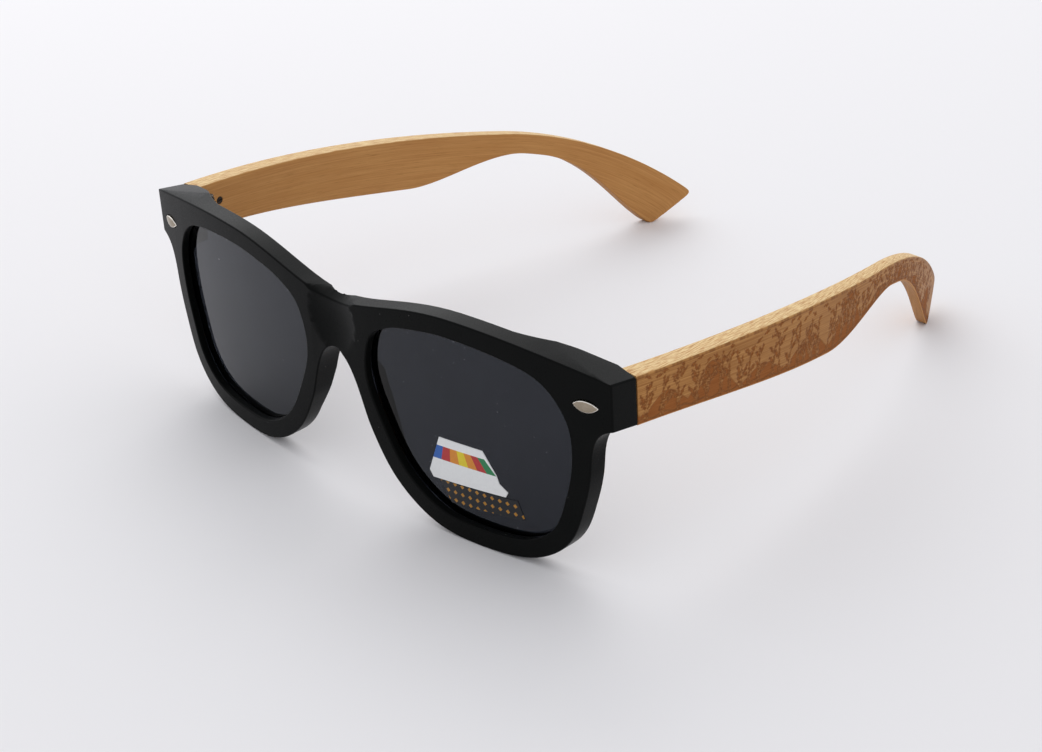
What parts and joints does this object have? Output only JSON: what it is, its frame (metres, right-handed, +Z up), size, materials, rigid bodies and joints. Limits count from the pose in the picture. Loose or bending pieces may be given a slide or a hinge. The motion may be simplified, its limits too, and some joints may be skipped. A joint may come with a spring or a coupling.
{
  "type": "sunglasses",
  "caption": "Sunglasses with a thick dark plastic front, inset tinted lenses, small metal corner studs and bowed bamboo temples that fold flat behind the front on screw hinges.",
  "frame": {"origin": "middle of the floor area that the open glasses stand on, at floor height", "axes": "+X toward the wearer's left, +Y from the front back to the temple tips, +Z up; the lenses face -Y"},
  "size_m": [0.1418, 0.1535, 0.0508],
  "materials": {
    "black_plastic": "matte black moulded plastic",
    "smoke_lens": "polished dark smoke tint",
    "paper_sticker": "printed label film",
    "clear_film": "thin clear static film",
    "silver_metal": "polished, warm silver",
    "hinge_metal": "nickel plated",
    "screw_metal": "bright plated",
    "bamboo": "sealed bamboo with a burnt pattern"
  },
  "bodies": {
    "front": {"front_frame": "black_plastic", "lens_left": "smoke_lens", "lens_right": "smoke_lens", "lens_sticker": "paper_sticker", "lens_film": "clear_film", "stud_left": "silver_metal", "stud_right": "silver_metal", "front_hinge_left": "hinge_metal", "front_hinge_right": "hinge_metal", "hinge_screw_left": "screw_metal", "hinge_screw_right": "screw_metal"},
    "temple_arm_left": {"temple_left": "bamboo", "temple_hinge_left": "hinge_metal", "leaf_screw_left": "screw_metal"},
    "temple_arm_right": {"temple_right": "bamboo", "temple_hinge_right": "hinge_metal", "leaf_screw_right": "screw_metal"}
  },
  "joints": [
    {"name": "temple_left_fold", "type": "hinge", "parent": "front", "child": "temple_arm_left", "pos_m": [0.06375, -0.05819, 0.04087], "axis": [0, -0.0276, 0.9996], "range_deg": [0, 81]},
    {"name": "temple_right_fold", "type": "hinge", "parent": "front", "child": "temple_arm_right", "pos_m": [-0.06375, -0.05819, 0.04087], "axis": [0, 0.0276, -0.9996], "range_deg": [0, 74]}
  ]
}
